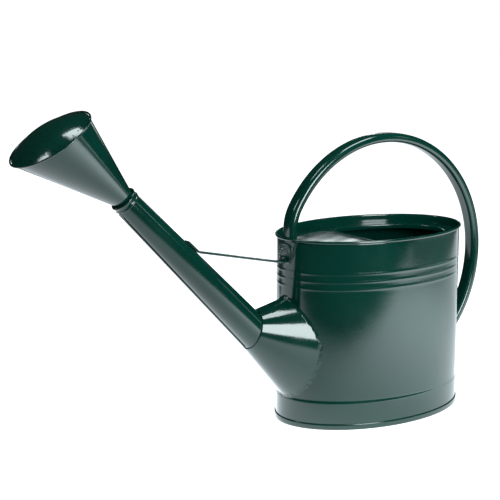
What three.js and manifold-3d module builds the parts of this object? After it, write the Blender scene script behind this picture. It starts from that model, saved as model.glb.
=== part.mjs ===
// Oval sheet-steel watering can with a long spout, a removable rose and a hoop handle.
// Millimetres, +Z up, +X towards the rose. The can stands on z = 0.
import * as THREE from "three";
import { mergeVertices } from "three/addons/utils/BufferGeometryUtils.js";
import Module from "manifold-3d";

const rad = THREE.MathUtils.degToRad;

// ---- Driving dimensions -------------------------------------------------------------------
const GAP = 0.3; // clearance between touching sheets

// oval body, outer semi-axes of the plain wall
const BODY_A = 145.2;
const BODY_B = 93.4;
const BODY_HEIGHT = 260;
const SHEET = 1.0;
const BODY_SEGMENTS = 48;
const BAND_PROUD = 0.8; // lower band stands this far outside the wall
const BAND_TOP = 36.2;
const SHOULDER_TOP = 40.7;
const BEAD_HEIGHTS = [194, 204.2, 215]; // swaged beads
const BEAD_HALF = 3.2;
const BEAD_PROUD = 0.35;
const HEM_HALF_WIDTH = 1.75; // rolled hem around the rim wire
const HEM_HALF_HEIGHT = 2.1;
const HEM_SHEET = 0.6;
const WIRE_RADIUS = 0.8;

// base
const FOOT_HEIGHT = 8;
const FOOT_SHEET = 1.3;
const PAN_RECESS = 7;

// deck and filler opening
const DECK_TOP = 248.2;
const DECK_FLANGE = 7;
const FILLER_A = 122;
const FILLER_B = 71.5;
const FILLER_FRONT = 19; // the nearly straight front edge
const FILLER_BOW = 5;
const FILLER_CORNER = 24;
const LIP_DEPTH = 6;
const DECK_STEP = 0.5; // the flange and the lip stop this far under the deck's top face

// spout, measured along its axis from the boot joint
const SPOUT_TILT = rad(45.4);
const SPOUT_FOOT = new THREE.Vector3(199.8, 0, 140.5);
const SPOUT_LENGTH = 271.8;
const SPOUT_R_FOOT = 23.1;
const SPOUT_R_TIP = 16.3;
const SPOUT_SHEET = 1.3;
const SPOUT_INSERT = 6; // how far the tube reaches into the boot
const SEAM_WIDTH = 5;
const COLLAR_LENGTH = 9;

// boot between the body and the spout
const BOOT_MOUTH_TILT = rad(20);
const BOOT_SHEET = 1.0;
const BOOT_FOOT_HEIGHT = 108; // widest level of the foot that meets the wall
const BOOT_FOOT_HALF_WIDTH = 51.3;
const BOOT_FOOT_RISE = 70; // from the widest level to the narrow top
const BOOT_FOOT_DROP = 69;
const BOOT_FOOT_POINT = 1.4; // above 1 the foot narrows towards its top
const INLET_RADIUS = 32;
const INLET_HEIGHT = 100;

// brace from the spout to the front wall
const BRACE_WIDTH = 12;
const BRACE_THICK = 2.6;
const BRACE_TAB_NEAR = 140;
const BRACE_TAB_FAR = 162;
const BRACE_FOOT_LOW = 224.8;
const BRACE_FOOT_HIGH = 234;
const BRACE_PLATE_THICK = 1; // plate welded to the wall behind the tab
const BRACE_PLATE_HALF_WIDTH = 15;
const BRACE_PLATE_HALF_HEIGHT = 14.5;
const BRACE_PLATE_MIDDLE = 238.5;

// hoop handle: a flattened tube bent to a circle in the plane y = 0
const HOOP_CENTRE_X = -21;
const HOOP_CENTRE_Z = 210.8;
const HOOP_RADIUS = 173.5;
const HOOP_WIDTH = 23;
const HOOP_DEPTH = 13.4;
const HOOP_CORNER = 3.8;
const HOOP_SHEET = 1.2;
const HOOP_FOOT_X = 136.6; // centre line of the straight front leg
const HOOP_FOOT_WIDTH = 21; // the tube is pinched where it stands on the deck
const HOOP_FOOT_TAPER = 34;
const HOOP_FOOT_BEND = 58.3;
const HOOP_FOOT_Z = DECK_TOP + GAP;
const HOOP_END_ANGLE = 226;
const FOOT_PLATE_HALF = 21;
const FOOT_PLATE_MIDDLE = 86;
const FOOT_PLATE_THICK = 1.4;

// rose
const NECK_RADIUS = 14.4;
const NECK_TAPER = 0.5;
const NECK_SHEET = 0.9;
const NECK_DEPTH = 22; // length inside the spout
const NECK_OUT = 1.2; // length that stands out of it
const ROSE_TILT = rad(57.2);
const ROSE_CENTRE = new THREE.Vector3(486, 0, 413.4);
const ROSE_RADIUS = 56.3;
const ROSE_BEAD = 1.2;
const ROSE_CONE_RADIUS = 53.8;
const ROSE_CONE_DROP = 1.8; // large end of the cone below the rim's plane
const ROSE_FACE_RADIUS = 53.5;
const ROSE_DOME = 15;
const ROSE_SHEET = 0.9;
const HOLE_RADIUS = 0.95;
const HOLE_RINGS = [[0, 1], [9.8, 6], [19.6, 12], [29.4, 18], [39.2, 24], [48.6, 30]];

// ---- Materials ----------------------------------------------------------------------------
const paint = (name, color, roughness = 0.22) =>
  Object.assign(new THREE.MeshStandardMaterial({ color, roughness, metalness: 0.1 }), { name });
const GREEN = paint("green_enamel", 0x0b4234);
const GREEN_IN = paint("green_enamel_inside", 0x07261f, 0.35);
const STEEL = paint("steel_wire", 0x8a8f8c, 0.4);
STEEL.metalness = 0.9;

// ---- Solid helpers ------------------------------------------------------------------------
const wasm = await Module();
wasm.setup();

// Joins equal-sized closed loops of points into one closed skin. A wrapped skin returns to its
// first loop; any other is closed with a fan over its first and its last loop.
function skin(loops, wrap = false) {
  const n = loops[0].length;
  const points = loops.flat().map((p) => p.clone());
  const index = [];
  const last = wrap ? loops.length : loops.length - 1;
  for (let i = 0; i < last; i++) {
    const a = i * n;
    const b = ((i + 1) % loops.length) * n;
    for (let j = 0; j < n; j++) {
      const k = (j + 1) % n;
      index.push(a + j, a + k, b + k, a + j, b + k, b + j);
    }
  }
  if (!wrap) {
    [[0, false], [loops.length - 1, true]].forEach(([loop, up]) => {
      const centre = new THREE.Vector3();
      loops[loop].forEach((p) => centre.add(p));
      points.push(centre.divideScalar(n));
      const c = points.length - 1;
      for (let j = 0; j < n; j++) {
        const p = loop * n + j;
        const q = loop * n + ((j + 1) % n);
        index.push(...(up ? [c, p, q] : [c, q, p]));
      }
    });
  }
  const g = new THREE.BufferGeometry().setFromPoints(points);
  g.setIndex(index);
  return faceOut(g);
}

// Turns a closed skin round if its faces point inwards.
function faceOut(g) {
  const p = g.getAttribute("position");
  const i = g.index;
  const [a, b, c] = [new THREE.Vector3(), new THREE.Vector3(), new THREE.Vector3()];
  let volume = 0;
  for (let t = 0; t < i.count; t += 3) {
    a.fromBufferAttribute(p, i.getX(t));
    b.fromBufferAttribute(p, i.getX(t + 1));
    c.fromBufferAttribute(p, i.getX(t + 2));
    volume += a.dot(b.cross(c));
  }
  if (volume < 0)
    for (let t = 0; t < i.count; t += 3) {
      const keep = i.getX(t + 1);
      i.setX(t + 1, i.getX(t + 2));
      i.setX(t + 2, keep);
    }
  return g;
}

function toSolid(geometry) {
  const g = geometry.clone();
  g.deleteAttribute("normal");
  g.deleteAttribute("uv");
  const m = mergeVertices(g, 1e-4);
  return new wasm.Manifold(
    new wasm.Mesh({
      numProp: 3,
      vertProperties: new Float32Array(m.getAttribute("position").array),
      triVerts: new Uint32Array(m.index.array),
    }),
  );
}

function toGeometry(solid) {
  const mesh = solid.getMesh();
  const g = new THREE.BufferGeometry();
  const p = new Float32Array(mesh.numVert * 3);
  for (let v = 0; v < mesh.numVert; v++)
    for (let k = 0; k < 3; k++) p[v * 3 + k] = mesh.vertProperties[v * mesh.numProp + k];
  g.setAttribute("position", new THREE.BufferAttribute(p, 3));
  g.setIndex(new THREE.BufferAttribute(new Uint32Array(mesh.triVerts), 1));
  return g;
}

const root = new THREE.Group();
root.name = "watering_can";

function add(name, geometry, material = GREEN) {
  const flat = geometry.index ? geometry.toNonIndexed() : geometry;
  flat.computeVertexNormals();
  const mesh = new THREE.Mesh(flat, material);
  mesh.name = name;
  root.add(mesh);
  return mesh;
}

// ---- Oval helpers -------------------------------------------------------------------------
const turns = (n) => Array.from({ length: n }, (_, k) => (k / n) * 2 * Math.PI);

const ovalPoint = (off, z, t) =>
  new THREE.Vector3((BODY_A + off) * Math.cos(t), (BODY_B + off) * Math.sin(t), z);

const ovalLoop = (off, z, n = BODY_SEGMENTS) => turns(n).map((t) => ovalPoint(off, z, t));

// A closed profile of [offset from the plain wall, height] carried round the oval.
const ovalRing = (profile, n) => skin(profile.map(([off, z]) => ovalLoop(off, z, n)), true);

// A filled oval solid whose outside follows the profile.
const ovalFill = (profile, n) => skin(profile.map(([off, z]) => ovalLoop(off, z, n)));

// outside of the wall from the bottom to just under the hem, with band, shoulder and beads
const wallOutside = [
  [BAND_PROUD, 1 + GAP],
  [BAND_PROUD, BAND_TOP],
  [0, SHOULDER_TOP],
  ...BEAD_HEIGHTS.flatMap((z) => [
    [0, z - BEAD_HALF],
    [BEAD_PROUD, z - BEAD_HALF / 3],
    [BEAD_PROUD, z + BEAD_HALF / 3],
    [0, z + BEAD_HALF],
  ]),
];
const grown = (profile, by) => profile.map(([off, z]) => [off + by, z]);

// The space that the body takes up, grown by a clearance, for trimming what meets it.
const bodySpace = (by) =>
  toSolid(
    ovalFill([[BAND_PROUD + by, -5], ...grown(wallOutside, by), [by, BODY_HEIGHT + 5]], BODY_SEGMENTS),
  );

// ---- Body shell ---------------------------------------------------------------------------
const hemX = HEM_HALF_WIDTH - SHEET;
const hemZ = BODY_HEIGHT - HEM_HALF_HEIGHT;
const hemPoint = (deg, inset) => [
  hemX + (HEM_HALF_WIDTH - inset) * Math.cos(rad(deg)),
  hemZ + (HEM_HALF_HEIGHT - inset) * Math.sin(rad(deg)),
];
const shellProfile = [
  ...wallOutside,
  [0, hemZ - 2.4],
  ...[215, 160, 100, 40, -20, -65].map((deg) => hemPoint(deg, HEM_SHEET)),
  ...[-65, -20, 30, 75, 120, 165].map((deg) => hemPoint(deg, 0)),
  [-SHEET, hemZ - 0.6],
  [-SHEET, SHOULDER_TOP],
  [BAND_PROUD - SHEET, BAND_TOP],
  [BAND_PROUD - SHEET, 1 + GAP],
];
// the water inlet behind the boot
const inletCutter = new THREE.CylinderGeometry(INLET_RADIUS, INLET_RADIUS, 60, 20);
inletCutter.rotateZ(Math.PI / 2).translate(BODY_A, 0, INLET_HEIGHT);
add("body_shell", toGeometry(toSolid(ovalRing(shellProfile)).subtract(toSolid(inletCutter))));

// wire that stiffens the rolled hem
add(
  "rim_wire",
  ovalRing(
    [0, 60, 120, 180, 240, 300].map((deg) => [
      hemX + WIRE_RADIUS * Math.cos(rad(deg)),
      hemZ + WIRE_RADIUS * 1.3 * Math.sin(rad(deg)),
    ]),
  ),
  STEEL,
);

// lap strip over the vertical joint of the wall, on the rear quarter
const seamAngles = [159.2, 160.3, 161.4].map(rad);
const seamLoops = [
  ...wallOutside.slice(2).map(([off, z], k) => [off + GAP + 0.05, k ? z : SHOULDER_TOP + 1]),
  [GAP + 0.05, 252.5],
];
const stripLoop = ([off, z]) => [
  ...seamAngles.map((t) => ovalPoint(off, z, t)),
  ...seamAngles.toReversed().map((t) => ovalPoint(off + 0.9, z, t)),
];
add("body_side_seam", skin(seamLoops.map(stripLoop)));

// ---- Base ---------------------------------------------------------------------------------
const footIn = BAND_PROUD + GAP;
add(
  "foot_ring",
  ovalRing([
    [footIn, FOOT_HEIGHT],
    [footIn + FOOT_SHEET, FOOT_HEIGHT - 0.6],
    [footIn + FOOT_SHEET, 0.6],
    [footIn + FOOT_SHEET - 0.6, 0],
    [-4, 0],
    [-4, 1],
    [footIn, 1],
  ]),
);
const panIn = BAND_PROUD - SHEET - GAP;
add(
  "base_pan",
  ovalFill([
    [panIn - SHEET - 10, PAN_RECESS],
    [panIn - SHEET, PAN_RECESS],
    [panIn - SHEET, 1 + GAP],
    [panIn, 1 + GAP],
    [panIn, PAN_RECESS + SHEET],
    [panIn - 10, PAN_RECESS + SHEET],
  ]),
);

// ---- Deck with the filler opening ---------------------------------------------------------
// Outline of the opening, drawn in by a margin: the rear follows the wall, the front is a
// shallow bow, and the two corners are rounded.
function fillerOutline(margin) {
  const a = FILLER_A - margin;
  const b = FILLER_B - margin;
  const corner = FILLER_CORNER - margin;
  const frontX = (y) => FILLER_FRONT - margin - FILLER_BOW * (y / FILLER_B) ** 2;
  // centre of the corner arc: as far from the rear curve as from the front edge
  let [cx, cy] = [frontX(50) - corner, 0];
  for (let k = 0; k < 40; k++) {
    const t = Math.acos(cx / a);
    cy = (b - corner) * Math.sin(t);
    cx = frontX(cy) - corner;
  }
  const arc = (from, to, n) =>
    Array.from({ length: n }, (_, k) => {
      const t = rad(from + ((to - from) * k) / (n - 1));
      return [cx + corner * Math.cos(t), cy + corner * Math.sin(t)];
    });
  const side = [[frontX(0), 0], [frontX(20), 20], ...arc(3, 93, 7)];
  const rear = Array.from({ length: 9 }, (_, k) => {
    const t0 = Math.acos((cx - 8) / a);
    const t = t0 + ((Math.PI - t0) * (k + 1)) / 9;
    return [a * Math.cos(t), b * Math.sin(t)];
  });
  const half = [...side, ...rear];
  const mirrored = half.slice(1, -1).toReversed().map(([x, y]) => [x, -y]);
  return [...half, ...mirrored].map(([x, y]) => new THREE.Vector2(x, y));
}

function prism(outline, holes, from, to) {
  const shape = new THREE.Shape(outline);
  holes.forEach((h) => shape.holes.push(new THREE.Path(h)));
  const g = new THREE.ExtrudeGeometry(shape, { depth: to - from, bevelEnabled: false });
  return g.translate(0, 0, from);
}
const flatLoop = (off) => ovalLoop(off, 0).map((p) => new THREE.Vector2(p.x, p.y));

const deckEdge = -SHEET - GAP;
const deck = toSolid(prism(flatLoop(deckEdge), [fillerOutline(0)], DECK_TOP - SHEET, DECK_TOP))
  .add(
    toSolid(
      prism(flatLoop(deckEdge), [flatLoop(deckEdge - SHEET)], DECK_TOP - DECK_FLANGE, DECK_TOP - DECK_STEP),
    ),
  )
  .add(toSolid(prism(fillerOutline(-SHEET), [fillerOutline(0)], DECK_TOP - LIP_DEPTH, DECK_TOP - DECK_STEP)));
add("top_deck", toGeometry(deck));

// ---- Spout --------------------------------------------------------------------------------
const Y = new THREE.Vector3(0, 1, 0);
const axisAt = (tilt) => new THREE.Vector3(Math.cos(tilt), 0, Math.sin(tilt));
const normalAt = (tilt) => new THREE.Vector3(-Math.sin(tilt), 0, Math.cos(tilt));
const E = axisAt(SPOUT_TILT);
const UP = normalAt(SPOUT_TILT);
const taper = (SPOUT_R_FOOT - SPOUT_R_TIP) / SPOUT_LENGTH;
const spoutRadius = (s) => SPOUT_R_FOOT - taper * s;
const spoutAt = (s) => SPOUT_FOOT.clone().addScaledVector(E, s);

// circle of points about a centre, in the plane across the direction of the given tilt
function circle(centre, tilt, radius, n, halfHeight = radius) {
  const up = normalAt(tilt);
  return turns(n).map((t) =>
    centre
      .clone()
      .addScaledVector(Y, radius * Math.cos(t))
      .addScaledVector(up, halfHeight * Math.sin(t)),
  );
}

// the oblique loop where the spout's cone, grown by a clearance, meets the mouth plane of the
// boot moved along its normal
function mouthLoop(grow, shift, n) {
  const normal = axisAt(BOOT_MOUTH_TILT);
  const r0 = SPOUT_R_FOOT + grow;
  return turns(n).map((t) => {
    const d = Y.clone().multiplyScalar(Math.cos(t)).addScaledVector(UP, Math.sin(t));
    const s = (shift - r0 * d.dot(normal)) / (E.dot(normal) - taper * d.dot(normal));
    return spoutAt(s).addScaledVector(d, r0 - taper * s);
  });
}

const TUBE_SIDES = 32;
const ring = (s, grow = 0) => circle(spoutAt(s), SPOUT_TILT, spoutRadius(s) + grow, TUBE_SIDES);
add(
  "spout_tube",
  skin(
    [
      mouthLoop(0, -SPOUT_INSERT, TUBE_SIDES),
      ring(60),
      ring(SPOUT_LENGTH),
      ring(SPOUT_LENGTH, -SPOUT_SHEET),
      ring(60, -SPOUT_SHEET),
      mouthLoop(-SPOUT_SHEET, -SPOUT_INSERT, TUBE_SIDES),
    ],
    true,
  ),
);

// folded seam along the underside
const seamLoop = (s) =>
  [[-1, 0.4], [-1, 1.2], [-0.5, 1.6], [0.5, 1.6], [1, 1.2], [1, 0.4]].map(([side, rise]) =>
    spoutAt(s)
      .addScaledVector(Y, (side * SEAM_WIDTH) / 2)
      .addScaledVector(UP, -(spoutRadius(s) + rise)),
  );
add("spout_seam", skin([seamLoop(-9), seamLoop(SPOUT_LENGTH - COLLAR_LENGTH - 1)]));

// rolled collar at the tip, with a second ridge at its lower edge
const collarProfile = [
  [COLLAR_LENGTH, GAP],
  [COLLAR_LENGTH - 0.4, 1.2],
  [COLLAR_LENGTH - 2, 1.2],
  [COLLAR_LENGTH - 2.8, 0.7],
  [2.4, 0.7],
  [1.6, 1.5],
  [0.2, 1.5],
  [0, GAP],
];
add(
  "tip_collar",
  skin(collarProfile.map(([back, grow]) => ring(SPOUT_LENGTH - back, grow)), true),
);

// ---- Boot ---------------------------------------------------------------------------------
const BOOT_SIDES = 40;
// outline of the foot on the wall, drawn in by an inset
const footLoop = (inset) =>
  turns(BOOT_SIDES).map((t) => {
    const power = Math.sin(t) > 0 ? BOOT_FOOT_POINT : 1;
    const side = Math.sign(Math.cos(t)) * Math.abs(Math.cos(t)) ** power;
    const tall = Math.sin(t) > 0 ? BOOT_FOOT_RISE : BOOT_FOOT_DROP;
    const y = (BOOT_FOOT_HALF_WIDTH - inset) * side;
    const z = BOOT_FOOT_HEIGHT + (tall - inset) * Math.sin(t);
    return new THREE.Vector3((BODY_A + GAP) * Math.sqrt(1 - (y / (BODY_B + GAP)) ** 2), y, z);
  });
// the skin runs straight from the mouth through the foot's outline, and is trimmed at the wall
const OVERRUN = 1.25;
const rootLoop = (mouth, foot) => mouth.map((m, k) => m.clone().lerp(foot[k], OVERRUN));
const mouthOuter = mouthLoop(GAP + 0.05 + BOOT_SHEET, 0, BOOT_SIDES);
const mouthInner = mouthLoop(GAP + 0.05, 0, BOOT_SIDES);
const boot = skin(
  [
    mouthOuter,
    rootLoop(mouthOuter, footLoop(0)),
    rootLoop(mouthInner, footLoop(BOOT_SHEET * 1.2)),
    mouthInner,
  ],
  true,
);
add("spout_boot", toGeometry(toSolid(boot).subtract(bodySpace(GAP))));

// ---- Brace --------------------------------------------------------------------------------
// a strip bent twice: a tab along the spout, a straight run, and a tab up the front wall
const onSpout = (s) => {
  const p = spoutAt(s).addScaledVector(UP, spoutRadius(s) + GAP + 0.1);
  return new THREE.Vector2(p.x, p.z);
};
const footX = BODY_A + GAP + BRACE_PLATE_THICK + GAP + 0.05;
const low = [onSpout(BRACE_TAB_FAR), onSpout(BRACE_TAB_NEAR)];
const lift = new THREE.Vector2(UP.x, UP.z).multiplyScalar(BRACE_THICK);
const run = new THREE.Vector2(footX - low[1].x, BRACE_FOOT_LOW - low[1].y).normalize();
const runUp = new THREE.Vector2(run.y, -run.x).multiplyScalar(BRACE_THICK);
const braceOutline = [
  low[0],
  low[1],
  new THREE.Vector2(footX + 1.6, BRACE_FOOT_LOW),
  new THREE.Vector2(footX, BRACE_FOOT_LOW + 1.6),
  new THREE.Vector2(footX, BRACE_FOOT_HIGH),
  new THREE.Vector2(footX + BRACE_THICK, BRACE_FOOT_HIGH),
  new THREE.Vector2(footX + BRACE_THICK, BRACE_FOOT_LOW + BRACE_THICK + 1.4),
  new THREE.Vector2(footX + BRACE_THICK + 1.4, BRACE_FOOT_LOW + BRACE_THICK + 0.4),
  low[1].clone().add(runUp).lerp(low[1].clone().add(lift), 0.5),
  low[0].clone().add(lift),
];
const brace = new THREE.ExtrudeGeometry(new THREE.Shape(braceOutline), {
  depth: BRACE_WIDTH,
  bevelEnabled: false,
});
brace.rotateX(Math.PI / 2).translate(0, BRACE_WIDTH / 2, 0);
add("brace_strip", brace);

// rounded outline in the plane of (across, height), squared off between a circle and a box
const roundedOutline = (halfWidth, halfHeight, middle, n = 20) => {
  const squared = (v) => Math.sign(v) * Math.abs(v) ** 0.6;
  return new THREE.Shape(
    turns(n).map(
      (u) =>
        new THREE.Vector2(halfWidth * squared(Math.cos(u)), middle + halfHeight * squared(Math.sin(u))),
    ),
  );
};

// a plate that follows the wall at the front (side 1) or at the rear (side -1)
function wallPlate(outline, side, thick) {
  const block = new THREE.ExtrudeGeometry(outline, { depth: 80, bevelEnabled: false });
  block.rotateX(Math.PI / 2).rotateZ((side * Math.PI) / 2);
  block.translate(side * (BODY_A - 40), 0, 0);
  return toGeometry(
    toSolid(block).intersect(bodySpace(GAP + thick)).subtract(bodySpace(GAP)),
  );
}

// plate welded to the front wall, which the brace's tab is welded to
add(
  "brace_foot_plate",
  wallPlate(
    roundedOutline(BRACE_PLATE_HALF_WIDTH, BRACE_PLATE_HALF_HEIGHT, BRACE_PLATE_MIDDLE),
    1,
    BRACE_PLATE_THICK,
  ),
);

// ---- Hoop handle --------------------------------------------------------------------------
// centre line: straight up from the deck, a tighter bend, then the large circle to the rear wall
const reach = HOOP_FOOT_X - HOOP_CENTRE_X - HOOP_FOOT_BEND;
const joinAngle = Math.acos(reach / (HOOP_RADIUS - HOOP_FOOT_BEND));
const bendZ = HOOP_CENTRE_Z + (HOOP_RADIUS - HOOP_FOOT_BEND) * Math.sin(joinAngle);
const stations = [
  { x: HOOP_FOOT_X, z: HOOP_FOOT_Z, a: 0 },
  { x: HOOP_FOOT_X, z: HOOP_FOOT_Z + 10, a: 0 },
];
const arcStations = (cx, cz, r, from, to, n) => {
  for (let k = 0; k <= n; k++) {
    const a = from + ((to - from) * k) / n;
    stations.push({ x: cx + r * Math.cos(a), z: cz + r * Math.sin(a), a });
  }
};
arcStations(HOOP_FOOT_X - HOOP_FOOT_BEND, bendZ, HOOP_FOOT_BEND, 0, joinAngle, 5);
stations.pop();
arcStations(HOOP_CENTRE_X, HOOP_CENTRE_Z, HOOP_RADIUS, joinAngle, rad(HOOP_END_ANGLE), 38);

// full width along the hoop, narrower towards the deck
const hoopWidth = (z) =>
  THREE.MathUtils.lerp(
    HOOP_FOOT_WIDTH,
    HOOP_WIDTH,
    THREE.MathUtils.smoothstep(z, HOOP_FOOT_Z, HOOP_FOOT_Z + HOOP_FOOT_TAPER),
  );
// chamfered rectangle, [across, outwards]
const hoopSection = (width, inset) => {
  const w = width / 2 - inset;
  const h = HOOP_DEPTH / 2 - inset;
  const c = Math.max(HOOP_CORNER - inset, 0.8);
  return [[w, c - h], [w, h - c], [w - c, h], [c - w, h], [-w, h - c], [-w, c - h], [c - w, -h], [w - c, -h]];
};
const hoopLoop = ({ x, z, a }, inset) =>
  hoopSection(a < Math.PI / 2 ? hoopWidth(z) : HOOP_WIDTH, inset).map(([across, out]) =>
    new THREE.Vector3(x + out * Math.cos(a), across, z + out * Math.sin(a)),
  );
const hoop = skin(
  [
    ...stations.map((s) => hoopLoop(s, 0)),
    ...stations.toReversed().map((s) => hoopLoop(s, HOOP_SHEET)),
  ],
  true,
);
// the rear end is trimmed clear of the wall and its foot plate; the front leg stands inside it
const plateOut = GAP + FOOT_PLATE_THICK;
const rearKeeper = new THREE.BoxGeometry(400, 200, 700).translate(-200 - 100, 0, 0);
const rearSpace = bodySpace(plateOut + GAP).intersect(toSolid(rearKeeper));
add("handle_hoop", toGeometry(toSolid(hoop).subtract(rearSpace)));

// rounded foot plate welded to the rear wall under the hoop's end
add(
  "handle_rear_plate",
  wallPlate(
    roundedOutline(FOOT_PLATE_HALF, FOOT_PLATE_HALF + 4, FOOT_PLATE_MIDDLE),
    -1,
    FOOT_PLATE_THICK,
  ),
);

// ---- Rose ---------------------------------------------------------------------------------
const neckRing = (s, r) => circle(spoutAt(SPOUT_LENGTH + s), SPOUT_TILT, r, TUBE_SIDES);
add(
  "rose_neck",
  skin(
    [
      neckRing(NECK_OUT, NECK_RADIUS),
      neckRing(-NECK_DEPTH, NECK_RADIUS - NECK_TAPER),
      neckRing(-NECK_DEPTH, NECK_RADIUS - NECK_TAPER - NECK_SHEET),
      neckRing(NECK_OUT, NECK_RADIUS - NECK_SHEET),
    ],
    true,
  ),
);

const N = axisAt(ROSE_TILT);
const CONE_SIDES = 40;
const roseAt = (rise) => ROSE_CENTRE.clone().addScaledVector(N, rise);
const neckLoop = (r) => circle(spoutAt(SPOUT_LENGTH + NECK_OUT + GAP), SPOUT_TILT, r, CONE_SIDES);
const coneLoop = (r) => circle(roseAt(-ROSE_CONE_DROP), ROSE_TILT, r, CONE_SIDES);
add(
  "rose_cone",
  skin(
    [
      neckLoop(NECK_RADIUS),
      coneLoop(ROSE_CONE_RADIUS),
      coneLoop(ROSE_CONE_RADIUS - ROSE_SHEET),
      neckLoop(NECK_RADIUS - ROSE_SHEET),
    ],
    true,
  ),
);

// lap strip along the cone, on the side away from the handle's near side
const coneStrip = [266, 270, 274].map(rad);
const coneDirection = (tilt, u) =>
  Y.clone().multiplyScalar(Math.sin(u)).addScaledVector(normalAt(tilt), Math.cos(u));
const stripEnd = (along) => {
  const small = spoutAt(SPOUT_LENGTH + NECK_OUT + GAP);
  const large = roseAt(-ROSE_CONE_DROP);
  const at = (u, grow) => {
    const p = small.clone().addScaledVector(coneDirection(SPOUT_TILT, u), NECK_RADIUS + grow);
    const q = large.clone().addScaledVector(coneDirection(ROSE_TILT, u), ROSE_CONE_RADIUS + grow);
    return p.lerp(q, along);
  };
  return [...coneStrip.map((u) => at(u, 0.45)), ...coneStrip.toReversed().map((u) => at(u, 1.2))];
};
add("rose_seam", skin([0.045, 0.97].map(stripEnd)));

// rolled rim that clasps the face and the cone
add(
  "rose_rim",
  skin(
    turns(8).map((u) =>
      circle(
        roseAt(ROSE_BEAD * Math.sin(u)),
        ROSE_TILT,
        ROSE_RADIUS - ROSE_BEAD + ROSE_BEAD * Math.cos(u),
        CONE_SIDES,
      ),
    ),
    true,
  ),
);

// domed face with rings of spray holes
const sphere = (ROSE_FACE_RADIUS ** 2 + ROSE_DOME ** 2) / (2 * ROSE_DOME);
const domeRise = (r) => Math.sqrt(sphere ** 2 - r ** 2) - (sphere - ROSE_DOME);
const domeRadii = [ROSE_FACE_RADIUS, 40, 25, 9];
const domeLoop = (r, drop) => circle(roseAt(domeRise(r) - drop), ROSE_TILT, r, CONE_SIDES);
const dome = skin([
  ...domeRadii.toReversed().map((r) => domeLoop(r, ROSE_SHEET)),
  ...domeRadii.map((r) => domeLoop(r, 0)),
]);
const holeCutters = HOLE_RINGS.flatMap(([r, count]) =>
  turns(count).map((u) => {
    const middle = roseAt(domeRise(r) - ROSE_SHEET / 2)
      .addScaledVector(Y, r * Math.cos(u))
      .addScaledVector(normalAt(ROSE_TILT), r * Math.sin(u));
    const pin = new THREE.CylinderGeometry(HOLE_RADIUS, HOLE_RADIUS, 5, 4);
    pin.applyQuaternion(new THREE.Quaternion().setFromUnitVectors(Y, N));
    return toSolid(pin.translate(middle.x, middle.y, middle.z));
  }),
);
add("rose_face", toGeometry(toSolid(dome).subtract(wasm.Manifold.union(holeCutters))));

// ---- Reference point: on the ground, at the middle of the overall length -------------------
root.updateMatrixWorld(true);
const overall = new THREE.Box3().setFromObject(root, true);
root.position.x = -(overall.min.x + overall.max.x) / 2;

export default root;
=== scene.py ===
import math
import bmesh
import bpy
import numpy as np
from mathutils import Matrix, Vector
from mathutils.geometry import delaunay_2d_cdt


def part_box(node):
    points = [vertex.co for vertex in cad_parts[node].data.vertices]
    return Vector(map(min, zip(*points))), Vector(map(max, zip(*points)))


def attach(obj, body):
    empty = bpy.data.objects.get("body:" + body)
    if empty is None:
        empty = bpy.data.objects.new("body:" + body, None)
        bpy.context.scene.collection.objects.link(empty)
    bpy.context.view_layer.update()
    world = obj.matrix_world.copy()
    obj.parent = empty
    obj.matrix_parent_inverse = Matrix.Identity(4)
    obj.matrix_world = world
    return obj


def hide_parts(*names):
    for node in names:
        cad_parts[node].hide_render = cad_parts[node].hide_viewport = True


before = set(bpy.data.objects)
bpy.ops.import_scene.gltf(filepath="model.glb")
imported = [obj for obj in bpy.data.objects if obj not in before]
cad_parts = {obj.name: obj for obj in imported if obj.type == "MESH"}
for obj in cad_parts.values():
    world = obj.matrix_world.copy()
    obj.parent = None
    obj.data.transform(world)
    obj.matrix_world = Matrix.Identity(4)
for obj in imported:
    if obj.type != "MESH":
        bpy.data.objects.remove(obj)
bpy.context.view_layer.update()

TAU = 2 * math.pi
MM = 0.001

# The body's own frame has its origin on the ground under the middle of the oval. Shapes below
# are worked out there in millimetres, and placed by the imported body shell's box.
lo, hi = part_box("body_shell")
CX = (lo.x + hi.x) / 2

# ---- shape constants, millimetres ------------------------------------------------------------
A, B, HEIGHT = 145.2, 93.4, 260.0
SHEET, GAP = 1.0, 0.3
BAND_PROUD, SHOULDER_LOW, SHOULDER_RISE = 0.8, 35.4, 5.6
BEADS, BEAD_HALF, BEAD_PROUD = (194.0, 204.2, 215.0), 3.2, 0.21
HEM_W, HEM_H = 1.62, 2.1
DECK, DECK_CROWN = 248.2, 2.2
FILLER_A, FILLER_B, FILLER_CORNER = 122.0, 71.5, 24.0
FILLER_FRONT, FILLER_BOW = 19.0, 5.0
INLET_R, INLET_Z, INLET_REACH = 32.0, 100.0, 60.0
TILT = math.radians(45.4)
FOOT = np.array([199.8, 0, 140.5])
LENGTH, R_FOOT, R_TIP, TUBE = 271.8, 23.1, 16.3, 1.3
MOUTH_TILT = math.radians(20)
BOOT_Z, BOOT_HALF, BOOT_RISE, BOOT_DROP, BOOT_POINT = 108.0, 51.3, 70.0, 69.0, 1.4
ROSE_TILT = math.radians(57.2)
ROSE = np.array([486.0, 0, 413.4])
ROSE_R, ROSE_BEAD, CONE_R, CONE_DROP, NECK_R = 56.3, 1.2, 53.8, 1.8, 14.4
FACE_R, DOME = 53.5, 15.0
SIDES, FINE_SIDES = 256, 4096


# ---- small geometry helpers ------------------------------------------------------------------
def turns(n, start=0.0):
    return start + np.arange(n) / n * TAU


def axis_at(tilt):
    return np.array([math.cos(tilt), 0, math.sin(tilt)])


def normal_at(tilt):
    return np.array([-math.sin(tilt), 0, math.cos(tilt)])


Y = np.array([0.0, 1.0, 0.0])
E, UP = axis_at(TILT), normal_at(TILT)
TAPER = (R_FOOT - R_TIP) / LENGTH


def smooth(a, b, x):
    t = np.clip((x - a) / (b - a), 0, 1)
    return t * t * (3 - 2 * t)


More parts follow.
